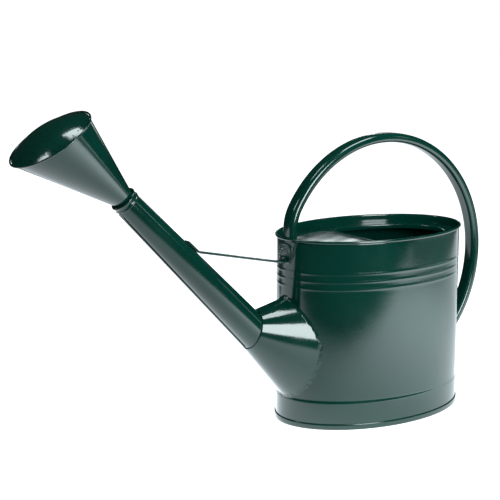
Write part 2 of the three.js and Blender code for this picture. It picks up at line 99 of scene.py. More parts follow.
def mix(p, q, u):
    return p * (1 - u) + q * u


def warp(t, z):
    """Slow unevenness of the pressed sheet, in mm."""
    rise = np.sin(np.pi * np.clip(z / HEIGHT, 0, 1))
    return rise * (0.10 * np.sin(3 * t + 0.7 + z / 70) + 0.06 * np.sin(7 * t + 2.1 - z / 50))


def oval(off, z, n=SIDES, uneven=0.0):
    t = turns(n)
    o = off + uneven * warp(t, z)
    return np.stack([(A + o) * np.cos(t), (B + o) * np.sin(t), np.full(n, float(z))], 1)


def circle(centre, tilt, radius, n):
    t = turns(n)[:, None]
    return centre + radius * np.cos(t) * Y + radius * np.sin(t) * normal_at(tilt)


def spout_at(s):
    return FOOT + s * E


def spout_ring(s, grow=0.0, n=96):
    return circle(spout_at(s), TILT, R_FOOT - TAPER * s + grow, n)


def mouth_loop(grow, shift, n=96):
    """Where the spout's cone, grown, meets the boot's mouth plane moved along its normal."""
    nrm = axis_at(MOUTH_TILT)
    r0 = R_FOOT + grow
    t = turns(n)[:, None]
    d = np.cos(t) * Y + np.sin(t) * UP
    dn = (d @ nrm)[:, None]
    s = (shift - r0 * dn) / (E @ nrm - TAPER * dn)
    return FOOT + s * E + d * (r0 - TAPER * s)


# ---- mesh helpers ----------------------------------------------------------------------------
def finish_mesh(name, verts, faces, mat, body, nodes=(), slot="green_enamel", sharp=32):
    me = bpy.data.meshes.new(name)
    pts = np.asarray(verts, float) * MM
    pts[:, 0] += CX
    me.from_pydata(pts.tolist(), [], faces)
    bm = bmesh.new()
    bm.from_mesh(me)
    bmesh.ops.remove_doubles(bm, verts=bm.verts, dist=1e-7)
    bmesh.ops.recalc_face_normals(bm, faces=bm.faces)
    limit = math.radians(sharp)
    for f in bm.faces:
        f.smooth = True
    for e in bm.edges:
        if len(e.link_faces) == 2 and e.calc_face_angle(0) > limit:
            e.smooth = False
    bm.to_mesh(me)
    bm.free()
    ob = bpy.data.objects.new(name, me)
    bpy.context.scene.collection.objects.link(ob)
    me.materials.append(mat)
    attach(ob, body)
    if nodes:
        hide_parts(*nodes)
    return ob


def loft(name, loops, mat, body="can", nodes=(), wrap=True, **kw):
    """A skin over equal-sized closed loops; wrapped, or capped at both ends."""
    loops = [np.asarray(l, float) for l in loops]
    n = len(loops[0])
    verts = np.concatenate(loops)
    faces = []
    last = len(loops) if wrap else len(loops) - 1
    for i in range(last):
        a, b = i * n, ((i + 1) % len(loops)) * n
        for j in range(n):
            k = (j + 1) % n
            faces.append((a + j, a + k, b + k, b + j))
    if not wrap:
        faces.append(tuple(reversed(range(n))))
        faces.append(tuple(range((len(loops) - 1) * n, len(loops) * n)))
    return finish_mesh(name, verts, faces, mat, body, nodes, **kw)


def profile_ring(name, profile, mat, uneven=0.0, **kw):
    return loft(name, [oval(o, z, uneven=uneven) for o, z in profile], mat, **kw)


# ---- materials -------------------------------------------------------------------------------
def enamel(name, colour, rough=0.10, peel=0.35, scuff=0.0, mottle=None):
    """Sprayed gloss enamel: faint colour drift, uneven gloss, orange peel and a slow waviness.

    Mottle adds the lumps of a weld under the paint.
    """
    m = bpy.data.materials.new(name)
    m.use_nodes = True
    nt = m.node_tree
    nt.nodes.clear()
    out = nt.nodes.new("ShaderNodeOutputMaterial")
    bs = nt.nodes.new("ShaderNodeBsdfPrincipled")
    nt.links.new(bs.outputs[0], out.inputs[0])
    bs.inputs["IOR"].default_value = 1.52
    bs.inputs["Coat Weight"].default_value = 0.0
    tc = nt.nodes.new("ShaderNodeTexCoord")

    def noise(scale, detail, breakup):
        n = nt.nodes.new("ShaderNodeTexNoise")
        n.inputs["Scale"].default_value = scale
        n.inputs["Detail"].default_value = detail
        n.inputs["Roughness"].default_value = breakup
        nt.links.new(tc.outputs["Object"], n.inputs["Vector"])
        return n.outputs["Fac"]

    def ramp(src, stops):
        r = nt.nodes.new("ShaderNodeValToRGB")
        for e, (position, rgb) in zip(r.color_ramp.elements, stops):
            e.position = position
            e.color = (*rgb, 1)
        nt.links.new(src, r.inputs[0])
        return r.outputs[0]

    def bump(strength, distance, height, under=None):
        b = nt.nodes.new("ShaderNodeBump")
        b.inputs["Strength"].default_value = strength
        b.inputs["Distance"].default_value = distance
        nt.links.new(height, b.inputs["Height"])
        if under is not None:
            nt.links.new(under, b.inputs["Normal"])
        return b.outputs[0]

    dark = tuple(c * 0.82 for c in colour)
    light = tuple(c * 1.15 + 0.0008 for c in colour)
    drift = ramp(noise(9, 4, 0.55), [(0.32, dark), (0.68, light)])
    nt.links.new(drift, bs.inputs["Base Color"])
    glossy = (rough,) * 3
    duller = (rough * 1.55 + scuff,) * 3
    gloss = ramp(noise(26, 5, 0.6), [(0.38, glossy), (0.74, duller)])
    nt.links.new(gloss, bs.inputs["Roughness"])
    relief = bump(peel, 0.00012, noise(330, 2.5, 0.5))
    relief = bump(0.30, 0.0010, noise(11, 2, 0.45), relief)
    if mottle:
        relief = bump(mottle, 0.0022, noise(150, 3, 0.55), relief)
    nt.links.new(relief, bs.inputs["Normal"])
    return m


def steel(name):
    m = bpy.data.materials.new(name)
    m.use_nodes = True
    bs = m.node_tree.nodes["Principled BSDF"]
    bs.inputs["Metallic"].default_value = 1.0
    n = m.node_tree.nodes.new("ShaderNodeTexNoise")
    n.inputs["Scale"].default_value = 240
    r = m.node_tree.nodes.new("ShaderNodeValToRGB")
    r.color_ramp.elements[0].color = (0.34, 0.35, 0.35, 1)
    r.color_ramp.elements[1].color = (0.56, 0.57, 0.57, 1)
    m.node_tree.links.new(n.outputs["Fac"], r.inputs[0])
    m.node_tree.links.new(r.outputs[0], bs.inputs["Base Color"])
    m.node_tree.links.new(n.outputs["Fac"], bs.inputs["Roughness"])
    return m


GREEN = (0.0, 0.0205, 0.0145)
PAINT = enamel("enamel", GREEN)
# The inside enamel is the body green at about half brightness and duller. The darker colour is painted
# shade for the inside of the can.
SHADED_PAINT_IN = enamel("enamel_inside", (0.0, 0.010, 0.0072), rough=0.22, peel=0.5, scuff=0.1)
PAINT_WELD = enamel("enamel_over_weld", GREEN, rough=0.09, peel=0.5, mottle=0.9)
WIRE = steel("galvanised_wire")


# ---- body shell ------------------------------------------------------------------------------
def bead_points(z0, steps=12):
    out = []
    for k in range(steps + 1):
        u = -1 + 2 * k / steps
        out.append((BEAD_PROUD * (0.5 + 0.5 * math.cos(math.pi * u)), z0 + u * BEAD_HALF))
    return out


def wall_profile():
    pts = [(BAND_PROUD, 1.3), (BAND_PROUD, 8.5), (BAND_PROUD, 20), (BAND_PROUD, 33)]
    for k in range(9):
        u = k / 8
        pts.append((BAND_PROUD * (1 - smooth(0, 1, u)), SHOULDER_LOW + SHOULDER_RISE * u))
    pts += [(0, z) for z in (46, 60, 80, 100, 120, 140, 160, 178, 188)]
    for z in BEADS:
        pts += bead_points(z)
    pts += [(0, z) for z in (221, 228, 236, 244, 250)]
    return [(float(o), float(z)) for o, z in pts]


hem_x, hem_z = HEM_W - SHEET, HEIGHT - HEM_H


def hem(deg, inset):
    a = math.radians(deg)
    return (hem_x + (HEM_W - inset) * math.cos(a), hem_z + (HEM_H - inset) * math.sin(a))


wall = wall_profile()
inner = [(o - 0.9, z) for o, z in reversed(wall) if z > 8.4]
shell = (
    wall
    + [(0, 254.4)]
    + [hem(d, 0.6) for d in (226, 205, 180, 150, 120, 90, 60, 30, 0, -30, -60, -84)]
    + [hem(-92, 0.3)]
    + [hem(d, 0.0) for d in (-84, -60, -40, -20, 0, 20, 40, 60, 80, 100, 120, 140, 160, 180)]
    + [(-SHEET, 254.0)]
    + [(o - 0.1 * (o == -0.9), z) for o, z in inner]
    + [(BAND_PROUD - SHEET, 1.3)]
)
body = profile_ring("body_shell_skin", shell, PAINT, uneven=1.0, nodes=["body_shell"], sharp=40)

# the water inlet behind the boot, cut through the wall
bpy.ops.mesh.primitive_cylinder_add(
    vertices=48,
    radius=INLET_R * MM,
    depth=INLET_REACH * MM,
    location=(CX + A * MM, 0, INLET_Z * MM),
    rotation=(0, math.pi / 2, 0),
)
cutter = bpy.context.object
cut = body.modifiers.new("inlet", "BOOLEAN")
cut.object, cut.operation, cut.solver = cutter, "DIFFERENCE", "EXACT"
bpy.context.view_layer.update()
done = bpy.data.meshes.new_from_object(body.evaluated_get(bpy.context.evaluated_depsgraph_get()))
body.modifiers.remove(cut)
body.data = done
bpy.data.objects.remove(cutter)

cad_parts["rim_wire"].data.materials.clear()
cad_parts["rim_wire"].data.materials.append(WIRE)

# lap strip over the vertical joint
LAP_OFF, LAP_LOW, LAP_TOP = 0.35, 41.5, 252.4
lap = [(o + LAP_OFF, z) for o, z in wall if z > LAP_LOW] + [(LAP_OFF, LAP_TOP)]
lap_angles = np.radians([158.9, 159.1, 159.5, 160.3, 161.1, 161.5, 161.7])
lap_rise = np.array([0.25, 0.6, 0.85, 0.9, 0.85, 0.6, 0.25])


def lap_loop(off, z):
    low_side = [((A + off) * math.cos(t), (B + off) * math.sin(t), z) for t in lap_angles]
    top = [((A + off + r) * math.cos(t), (B + off + r) * math.sin(t), z)
           for t, r in zip(lap_angles[::-1], lap_rise[::-1])]
    return np.array(low_side + top)


loft("body_lap_seam", [lap_loop(o, z) for o, z in lap], PAINT, wrap=False, nodes=["body_side_seam"])

# ---- foot ring and base ----------------------------------------------------------------------
foot = [(1.1, 7.0), (1.2, 7.7), (1.5, 8.0), (1.9, 7.8), (2.25, 7.0), (2.38, 5.6), (2.38, 2.4)]
foot += [(2.2, 1.1), (1.8, 0.3), (1.2, 0.0), (-3.2, 0.0), (-3.8, 0.2), (-4.0, 0.6), (-3.8, 0.9)]
foot += [(-3.2, 1.0), (0.8, 1.0), (1.1, 1.25)]
profile_ring("foot_ring_seamed", foot, PAINT, nodes=["foot_ring"], sharp=50)

# the base pan: a recessed plate with a pressed ring and a turned-down skirt
pan_under = [(-70, 7.0), (-42, 7.0), (-38, 6.6), (-34, 5.2), (-30, 4.8), (-26, 5.2), (-22, 6.6)]
pan_under += [(-18, 7.0), (-5, 7.0), (-2.8, 6.6), (-1.7, 5.4), (-1.5, 1.5)]
pan_over = [(-0.5, 1.5), (-0.5, 6.6), (-0.8, 7.6), (-1.8, 8.0), (-18, 8.0), (-22, 7.6), (-26, 6.2)]
pan_over += [(-30, 5.8), (-34, 6.2), (-38, 7.6), (-42, 8.0), (-70, 8.0)]
# The pan takes the inside enamel, whose darker green is painted shade.
profile_ring("base_pan_pressed", pan_under + pan_over, SHADED_PAINT_IN, wrap=False,
             nodes=["base_pan"], slot="green_enamel_inside", sharp=50)

# ---- deck ------------------------------------------------------------------------------------
def evenly(points, n):
    """Moves the points of a flat closed outline to n equal steps along it."""
    closed = np.concatenate([points, points[:1]])
    d = np.concatenate([[0], np.cumsum(np.linalg.norm(np.diff(closed, axis=0), axis=1))])
    s = np.arange(n) / n * d[-1]
    return np.stack([np.interp(s, d, closed[:, 0]), np.interp(s, d, closed[:, 1])], 1)


def filler_outline(margin, n=SIDES):
    """The opening, drawn in by a margin: a bowed front, two round corners and an oval rear."""
    a, b, corner = FILLER_A - margin, FILLER_B - margin, FILLER_CORNER - margin

    def front_x(y):
        return FILLER_FRONT - margin - FILLER_BOW * (y / FILLER_B) ** 2

    cx = front_x(50) - corner
    for _ in range(40):
        t = math.acos(cx / a)
        cy = (b - corner) * math.sin(t)
        cx = front_x(cy) - corner
    pts = [(front_x(y), y) for y in np.linspace(0, cy * 0.92, 14)]
    corner_turn = np.radians(np.linspace(3, 92, 24))
    pts += [(cx + corner * math.cos(t), cy + corner * math.sin(t)) for t in corner_turn]
    t0 = math.acos((cx - 8) / a)
    pts += [(a * math.cos(t), b * math.sin(t)) for t in np.linspace(t0, math.pi, 60)]
    half = np.array(pts)
    full = np.concatenate([half, (half[1:-1] * [1, -1])[::-1]])
    for _ in range(3):
        full = 0.25 * np.roll(full, 1, 0) + 0.5 * full + 0.25 * np.roll(full, -1, 0)
    return evenly(full, n)


def even_oval(off, n=SIDES):
    return evenly(oval(off, 0, FINE_SIDES)[:, :2], n)


def level(xy, z):
    x, y = xy[:, 0], xy[:, 1]
    return np.column_stack([x, y, np.broadcast_to(z, len(xy))])


def deck_crown(xy):
    """The deck is not dead flat: it is crowned between its edges and a little wavy."""
    x, y = xy[:, 0], xy[:, 1]
    inside = 1 - (x / 143.9) ** 2 - (y / 92.1) ** 2
    edge = smooth(0.0, 0.16, inside)
    waves = 0.10 * np.sin(x / 5.1 + y / 11) + 0.08 * np.sin(x / 9.7 - y / 4.3)
    front = smooth(14, 34, x)
    return edge * front * (DECK_CROWN * np.clip(inside, 0, 1) + waves)


edge_off = -SHEET - GAP
loops = [level(filler_outline(0), DECK - 6.0), level(filler_outline(0), DECK - 3.5)]
for k in range(6):
    a = k / 5 * math.pi / 2
    m = -1.8 * (1 - math.cos(a))
    loops.append(level(filler_outline(m), DECK - 1.8 * (1 - math.sin(a))))
start = filler_outline(-2.2)
for u in (0.0, 0.03, 0.1, 0.2, 0.32, 0.45, 0.58, 0.7, 0.8, 0.9, 0.96, 0.99):
    xy = start * (1 - u) + even_oval(edge_off - 0.7) * u
    loops.append(level(xy, DECK + deck_crown(xy)))
loops += [level(even_oval(edge_off - 0.1), DECK - 0.3), level(even_oval(edge_off), DECK - 0.9),
          level(even_oval(edge_off), DECK - 7), level(even_oval(edge_off - 1.0), DECK - 7),
          level(even_oval(edge_off - 1.0), DECK - 1.2)]
for u in (0.9, 0.7, 0.45, 0.2, 0.05):
    xy = start * (1 - u) + even_oval(edge_off - 1.2) * u
    loops.append(level(xy, DECK - 1.0 + deck_crown(xy)))
loops += [level(filler_outline(-1.0), DECK - 1.6), level(filler_outline(-1.0), DECK - 6.0),
          level(filler_outline(-0.5), DECK - 6.25)]
loft("top_deck_pressed", loops, PAINT, nodes=["top_deck"], sharp=50)

# ---- spout -----------------------------------------------------------------------------------
outer = [mouth_loop(0, -6), mouth_loop(0, 2)]
outer += [spout_ring(s) for s in (40, 60, 110, 160, 210, 250, LENGTH - 0.3)]
back = [spout_ring(LENGTH, -0.3), spout_ring(LENGTH, -1.0), spout_ring(LENGTH - 0.3, -TUBE)]
bore = [spout_ring(60, -TUBE), mouth_loop(-TUBE, -6)]
loft("spout_tube_skin", outer + back + bore, PAINT, nodes=["spout_tube"])


def spout_strip(s, side, rise):
    return spout_at(s) + Y * side - UP * (R_FOOT - TAPER * s + rise)


def seam_section(s, scale):
    """The folded seam's half-round section, drawn in a little at its ends."""
    shape = [(-2.5, 0.35), (-2.5, 0.75), (-2.2, 1.15), (-1.5, 1.45), (0, 1.58)]
    shape += [(-w, h) for w, h in shape[-2::-1]]
    return np.array([spout_strip(s, w * scale, h * (0.6 + 0.4 * scale)) for w, h in shape])


seam_stations = ((-9, 0.9), (-7, 1), (60, 1), (140, 1), (220, 1), (258, 1), (260.8, 0.8))
seam_loops = [seam_section(s, scale) for s, scale in seam_stations]
loft("spout_fold_seam", seam_loops, PAINT, wrap=False, nodes=["spout_seam"])

# two rolled ridges: distance back from the tip, height above the tube
collar = [(9.0, 0.32), (8.9, 0.8), (8.4, 1.15), (7.8, 1.2), (7.2, 1.0), (6.6, 0.62), (5.8, 0.55)]
collar += [(3.2, 0.55), (2.7, 0.7), (2.2, 1.15), (1.6, 1.45), (0.9, 1.5), (0.35, 1.3), (0.05, 0.8)]
collar += [(0.0, 0.35)]
collar_rings = [spout_ring(LENGTH - back_off, grow) for back_off, grow in collar]
loft("spout_tip_collar", collar_rings, PAINT, nodes=["tip_collar"], sharp=60)

# ---- boot ------------------------------------------------------------------------------------
N_BOOT = 160
mouth = mouth_loop(GAP + 0.05 + 1.0, 0, N_BOOT)
mouth_in = mouth_loop(GAP + 0.05, 0, N_BOOT)


def boot_foot(inset):
    """Outline of the boot's foot on the wall: an oval that narrows towards its top."""
    t = turns(N_BOOT)
    upper = np.sin(t) > 0
    side = np.sign(np.cos(t)) * np.abs(np.cos(t)) ** np.where(upper, BOOT_POINT, 1.0)
    y = (BOOT_HALF - inset) * side
    z = BOOT_Z + (np.where(upper, BOOT_RISE, BOOT_DROP) - inset) * np.sin(t)
    x = (A + GAP) * np.sqrt(1 - (y / (B + GAP)) ** 2)
    return np.column_stack([x, y, z])


foot_line, foot_in = boot_foot(0.0), boot_foot(1.2)
mouth_axis = axis_at(MOUTH_TILT)
boot_loops = [mouth_in, mix(mouth_in, mouth, 0.4) + mouth_axis * 0.35]
boot_loops += [mix(mouth_in, mouth, 0.8) + mouth_axis * 0.2, mouth]
boot_loops += [mix(mouth, foot_line, u) for u in (0.01, 0.1, 0.3, 0.5, 0.7, 0.9, 0.99, 1.0)]
boot_loops += [mix(foot_in, mouth_in, u) for u in (0.0, 0.3, 0.6, 0.9)]
loft("spout_boot_skin", boot_loops, PAINT, nodes=["spout_boot"], sharp=50)

# solder run between the boot and the wall, uneven as it was laid by hand
tangent = np.roll(foot_line, -1, 0) - np.roll(foot_line, 1, 0)
tangent /= np.linalg.norm(tangent, axis=1)[:, None]
wall_n = np.column_stack([foot_line[:, 0] / A**2, foot_line[:, 1] / B**2, np.zeros(N_BOOT)])
wall_n /= np.linalg.norm(wall_n, axis=1)[:, None]
away = np.cross(wall_n, tangent)
away *= np.sign(np.sum(away * (foot_line - foot_line.mean(0)), 1))[:, None]
along = mouth - foot_line
along /= np.linalg.norm(along, axis=1)[:, None]
skin_n = np.cross(tangent, along)
skin_n *= np.sign(np.sum(skin_n * (foot_line - foot_line.mean(0)), 1))[:, None]
phi = turns(N_BOOT)
lump = (1 + 0.22 * np.sin(9 * phi + 1) + 0.16 * np.sin(23 * phi) + 0.12 * np.sin(41 * phi + 2))[:, None]
p_top = foot_line + along * 3.0 * lump + skin_n * 0.12
p_wall = foot_line + away * 2.6 * lump + wall_n * -0.12
p_mid = foot_line + skin_n * 0.35 + wall_n * 0.2
fillet = [(1 - u) ** 2 * p_top + 2 * u * (1 - u) * p_mid + u * u * p_wall for u in np.linspace(0, 1, 7)]
under = [foot_line - wall_n * 0.25, foot_line + along * 1.2 - skin_n * 0.2]
loft("boot_solder_run", fillet + under, PAINT_WELD, sharp=70)


# ---- brace -----------------------------------------------------------------------------------
def sweep_strip(path, width, thick, corner=0.5):
    """Loops of a rounded flat strip along (x, z) points; its width runs along Y."""
    path = np.array(path, float)
    d = np.gradient(path, axis=0)
    d /= np.linalg.norm(d, axis=1)[:, None]
    nrm = np.column_stack([-d[:, 1], d[:, 0]])
    w, h, c = width / 2, thick / 2, corner
    k = c * 0.3
    shape = [(w, h - c), (w - k, h - k), (w - c, h), (c - w, h), (k - w, h - k), (-w, h - c)]
    shape += [(-x, -z) for x, z in shape]
    return [np.array([(p[0] + n[0] * v, u, p[1] + n[1] * v) for u, v in shape])
            for p, n in zip(path, nrm)]


def arc_corner(p, q, r, radius, n=8):
    """Points that round the corner q of the line p-q-r."""
    p, q, r = (np.array(v, float) for v in (p, q, r))
    a, b = (p - q) / np.linalg.norm(p - q), (r - q) / np.linalg.norm(r - q)
    s, e = q + a * radius, q + b * radius
    return [(1 - u) ** 2 * s + 2 * u * (1 - u) * q + u * u * e for u in np.linspace(0, 1, n)]


BRACE_WIDTH, BRACE_THICK, BRACE_PLATE_THICK = 12.0, 2.6, 1.0


def on_spout(s):
    p = spout_at(s) + UP * (R_FOOT - TAPER * s + GAP + 0.1 + BRACE_THICK / 2)
    return p[[0, 2]]


tab_far, tab_near = on_spout(162), on_spout(140)
foot_x = A + GAP + BRACE_PLATE_THICK + GAP + 0.05 + BRACE_THICK / 2
knee = np.array([foot_x + 0.4, 226.2])
top = np.array([foot_x, 234.0])
path = [tab_far, mix(tab_far, tab_near, 0.5)]
path += arc_corner(tab_far, tab_near, knee, 3.0)
path += [mix(tab_near, knee, u) for u in (0.2, 0.4, 0.6, 0.8)]
path += arc_corner(tab_near, knee, top, 2.4)
path += [mix(knee, top, 0.5), top]
strip = sweep_strip(path, BRACE_WIDTH, BRACE_THICK)
loft("brace_strip_bent", strip, PAINT, wrap=False, nodes=["brace_strip"], sharp=50)

# ---- hoop handle -----------------------------------------------------------------------------
HC, HR = np.array([-21.0, 210.8]), 173.5
HOOP_W, HOOP_H, HOOP_CORNER = 11.5, 6.7, 5.6
HOOP_SHEET, PINCH, PINCH_TOP = 1.2, 1.0, 34.0
FOOT_X, BEND = 136.6, 58.3
END_ANGLE = math.radians(224.6)
REAR_PLATE_THICK = 1.4
REAR_END_X, REAR_END_Z = -100.0, 140.0
reach = FOOT_X - HC[0] - BEND
join = math.acos(reach / (HR - BEND))
bend_z = HC[1] + (HR - BEND) * math.sin(join)


def arc_stations(cx, cz, r, angles):
    return [(cx + r * math.cos(a), cz + r * math.sin(a), a) for a in angles]


# the centre line: up from the deck, round the tighter bend, then over to the rear wall
stations = [(FOOT_X, z, 0.0) for z in np.linspace(DECK + GAP, bend_z, 5)[:-1]]
stations += arc_stations(FOOT_X - BEND, bend_z, BEND, np.linspace(0, join, 12)[:-1])
stations += arc_stations(HC[0], HC[1], HR, np.linspace(join, END_ANGLE, 150))


def crowned_rect(w, h, c, n=6, crown=0.1):
    """A rounded rectangle whose two wide sides bulge a little: half width w, half height h, corner c."""
    pts = []
    for k, (sx, sz) in enumerate(((1, 1), (-1, 1), (-1, -1), (1, -1))):
        for a in np.linspace(0, math.pi / 2, n):
            t = a + k * math.pi / 2
            pts.append((sx * (w - c) + c * math.cos(t), sz * (h - c) + c * math.sin(t)))
        if k in (0, 2):
            pts += [(x * sx, sz * h) for x in np.linspace(w - c, c - w, 9)[1:-1]]
    return [(x, z * (1 - crown * (x / w) ** 2)) for x, z in pts]


def hoop_loop(x, z, a, inset=0.0):
    """The tube's section across its centre line, pinched in where it stands on the deck."""
    front_leg = a < math.pi / 2
    pinch = PINCH * (1 - smooth(DECK + GAP, DECK + GAP + PINCH_TOP, z)) if front_leg else 0.0
    section = crowned_rect(HOOP_W - pinch - inset, HOOP_H - inset, HOOP_CORNER - inset)
    return np.array([(x + v * math.cos(a), u, z + v * math.sin(a)) for u, v in section])


def trim(tube, clear):
    """Pulls what has gone into the rear wall back along the tube to just clear of it."""
    for section in tube:
        for p in section:
            limit = -(A + clear) * math.sqrt(max(0.0, 1 - (p[1] / (B + clear)) ** 2))
            at_rear_end = p[0] < REAR_END_X and p[2] < REAR_END_Z
            if at_rear_end and p[0] > limit:
                p[2] += p[0] - limit
                p[0] = limit
    return tube


plate_clear = GAP + REAR_PLATE_THICK + GAP
hoop = trim([hoop_loop(*s) for s in stations], plate_clear)
hoop_in = trim([hoop_loop(*s, inset=HOOP_SHEET) for s in stations[::-1]], plate_clear)
loft("handle_hoop_tube", hoop + hoop_in, PAINT, nodes=["handle_hoop"], sharp=50)


def wall_patch(name, node, half_w, z_mid, half_h, thick, side):
    """A rounded plate that hugs the wall at the front (side 1) or the rear (side -1)."""
    u = turns(72)
    squared = 0.6
    sx = np.sign(np.cos(u)) * np.abs(np.cos(u)) ** squared
    sz = np.sign(np.sin(u)) * np.abs(np.sin(u)) ** squared

    def place(scale, grow):
        y = half_w * scale * sx
        z = z_mid + half_h * scale * sz
        x = side * (A + grow) * np.sqrt(1 - (y / (B + grow)) ** 2)
        return np.column_stack([x, y, z])

    rings = [place(s, GAP) for s in (0.02, 0.4, 0.8, 1.0)]
    rings += [place(1.0, GAP + thick * 0.45), place(0.985, GAP + thick * 0.8)]
    rings += [place(0.96, GAP + thick)]
    rings += [place(s, GAP + thick) for s in (0.8, 0.5, 0.2, 0.02)]
    loft(name, rings, PAINT_WELD, wrap=False, nodes=[node], sharp=60)


wall_patch("handle_rear_foot_plate", "handle_rear_plate", 21, 86, 25, REAR_PLATE_THICK, -1)
wall_patch("brace_wall_plate", "brace_foot_plate", 15, 238.5, 14.5, BRACE_PLATE_THICK, 1)

# ---- rose ------------------------------------------------------------------------------------
NS = 128
CONE_START, ROSE_SHEET = 1.5, 0.9  # the cone starts just beyond the tip of the spout


def neck_ring(s, r):
    return circle(spout_at(LENGTH + s), TILT, r, NS)


neck_profile = [(1.2, 0), (-10, -0.25), (-21.6, -0.5), (-22, -0.7)]
neck_profile += [(-22, -1.2), (-21.6, -1.4), (1.2, -0.9)]
neck_rings = [neck_ring(s, NECK_R + grow) for s, grow in neck_profile]
loft("rose_neck_tube", neck_rings, PAINT, body="rose_neck", nodes=["rose_neck"])


def rose_at(rise):
    return ROSE + rise * axis_at(ROSE_TILT)


def rose_circle(rise, r, n=NS):
    return circle(rose_at(rise), ROSE_TILT, r, n)


small, large = neck_ring(CONE_START, NECK_R), rose_circle(-CONE_DROP, CONE_R)
small_in = neck_ring(CONE_START, NECK_R - ROSE_SHEET)
large_in = rose_circle(-CONE_DROP, CONE_R - ROSE_SHEET)
cone = [mix(small, large, u) for u in (0, 0.01, 0.1, 0.3, 0.5, 0.7, 0.9, 0.985, 1)]
cone += [mix(large_in, small_in, u) for u in (0, 0.3, 0.6, 0.9, 1)]
loft("rose_cone_skin", cone, PAINT, body="rose_head", nodes=["rose_cone"], sharp=50)

lap_u = np.radians([265.6, 266.2, 268, 270, 272, 273.8, 274.4])
lap_h = [0.5, 0.9, 1.15, 1.2, 1.15, 0.9, 0.5]


def cone_point(u, v, grow):
    at_neck = Y * math.sin(u) + UP * math.cos(u)
    at_rim = Y * math.sin(u) + normal_at(ROSE_TILT) * math.cos(u)
    p = spout_at(LENGTH + CONE_START) + at_neck * (NECK_R + grow)
    q = rose_at(-CONE_DROP) + at_rim * (CONE_R + grow)
    return mix(p, q, v)


def lap_section(v):
    low_side = [cone_point(u, v, 0.42) for u in lap_u]
    top_side = [cone_point(u, v, h) for u, h in zip(lap_u[::-1], lap_h)]
    return np.array(low_side + top_side)


lap_loops = [lap_section(v) for v in (0.045, 0.3, 0.6, 0.97)]
loft("rose_lap_seam", lap_loops, PAINT, wrap=False, body="rose_head", nodes=["rose_seam"])

rim_mid = ROSE_R - 0.01 - ROSE_BEAD
rim = [rose_circle(ROSE_BEAD * math.sin(a), rim_mid + ROSE_BEAD * math.cos(a)) for a in turns(16)]
loft("rose_rolled_rim", rim, PAINT, body="rose_head", nodes=["rose_rim"], sharp=60)

# domed face: a flat disc triangulated round its holes, then raised onto the sphere
sphere = (FACE_R**2 + DOME**2) / (2 * DOME)
RINGS = [(0, 1), (9.8, 6), (19.6, 12), (29.4, 18), (39.2, 24), (48.6, 30)]
HOLE, HOLE_SIDES, HALO = 0.95, 12, 2.4
centres = [(r * math.cos(t), r * math.sin(t)) for r, n in RINGS for t in turns(n)]


def disc():
    """A flat disc, triangulated round its holes."""
    pts, edges = [], []

    def ring(cx, cy, r, n):
        first = len(pts)
        pts.extend(Vector((cx + r * math.cos(t), cy + r * math.sin(t))) for t in turns(n))
        edges.extend((first + k, first + (k + 1) % n) for k in range(n))

    ring(0, 0, FACE_R, NS)
    for c in centres:
        ring(*c, HOLE, HOLE_SIDES)
    for r, n in ((52.2, NS), (43.9, 84), (34.3, 66), (24.5, 48), (14.6, 30), (4.8, 12)):
        for t in turns(n, 0.03):
            pts.append(Vector((r * math.cos(t), r * math.sin(t))))
    for r, n in RINGS[1:]:
        for t in turns(n):
            for k in range(8):
                a = t + k / 8 * TAU
                x = r * math.cos(t) + HALO * math.cos(a)
                y = r * math.sin(t) + HALO * math.sin(a)
                pts.append(Vector((x, y)))
    v, _, f, _, _, _ = delaunay_2d_cdt(pts, edges, [], 1, 1e-6)
    keep = []
    for face in f:
        c = sum((v[i] for i in face), Vector((0, 0))) / len(face)
        in_hole = any((c.x - x) ** 2 + (c.y - y) ** 2 < (HOLE * 0.97) ** 2 for x, y in centres)
        if c.length <= FACE_R and not in_hole:
            keep.append(tuple(face))
    return np.array([(p.x, p.y) for p in v]), keep


flat, tris = disc()
rise = np.sqrt(sphere**2 - np.sum(flat**2, 1)) - (sphere - DOME)
N_AX, N_UP = axis_at(ROSE_TILT), normal_at(ROSE_TILT)


def lift(drop):
    return ROSE + flat[:, :1] * Y + flat[:, 1:] * N_UP + (rise - drop)[:, None] * N_AX


edges = [(a, b) for f in tris for a, b in zip(f, f[1:] + f[:1])]
known = set(edges)
border = [(a, b) for a, b in edges if (b, a) not in known]
nv = len(flat)
faces = list(tris) + [tuple(i + nv for i in reversed(f)) for f in tris]
faces += [(b, a, a + nv, b + nv) for a, b in border]
both_sides = np.concatenate([lift(0), lift(ROSE_SHEET)])
finish_mesh("rose_face_dome", both_sides, faces, PAINT, "rose_head", ["rose_face"], sharp=45)


# ---- studio ----------------------------------------------------------------------------------
def plane(name, z, size, mat):
    me = bpy.data.meshes.new(name)
    signs = ((-1, -1), (1, -1), (1, 1), (-1, 1))
    corners = [(sx * size / 2, sy * size / 2, z) for sx, sy in signs]
    me.from_pydata(corners, [], [(0, 1, 2, 3)])
    ob = bpy.data.objects.new(name, me)
    bpy.context.scene.collection.objects.link(ob)
    me.materials.append(mat)
    return ob


floor_mat = bpy.data.materials.new("pale_floor")
floor_mat.use_nodes = True
fb = floor_mat.node_tree.nodes["Principled BSDF"]
fb.inputs["Base Color"].default_value = (0.93, 0.93, 0.93, 1)
fb.inputs["Roughness"].default_value = 0.9
fb.inputs["Specular IOR Level"].default_value = 0.0
fb.inputs["Emission Color"].default_value = (1, 1, 1, 1)
fb.inputs["Emission Strength"].default_value = 0.55
floor = plane("studio_floor", -0.0002, 14, floor_mat)
floor.visible_glossy = False
floor.visible_diffuse = False


# level directions: from the can towards the camera, and to the picture's right
TO_CAMERA = (0.554, 0.832, 0)
TO_RIGHT = (-0.832, 0.555, 0)


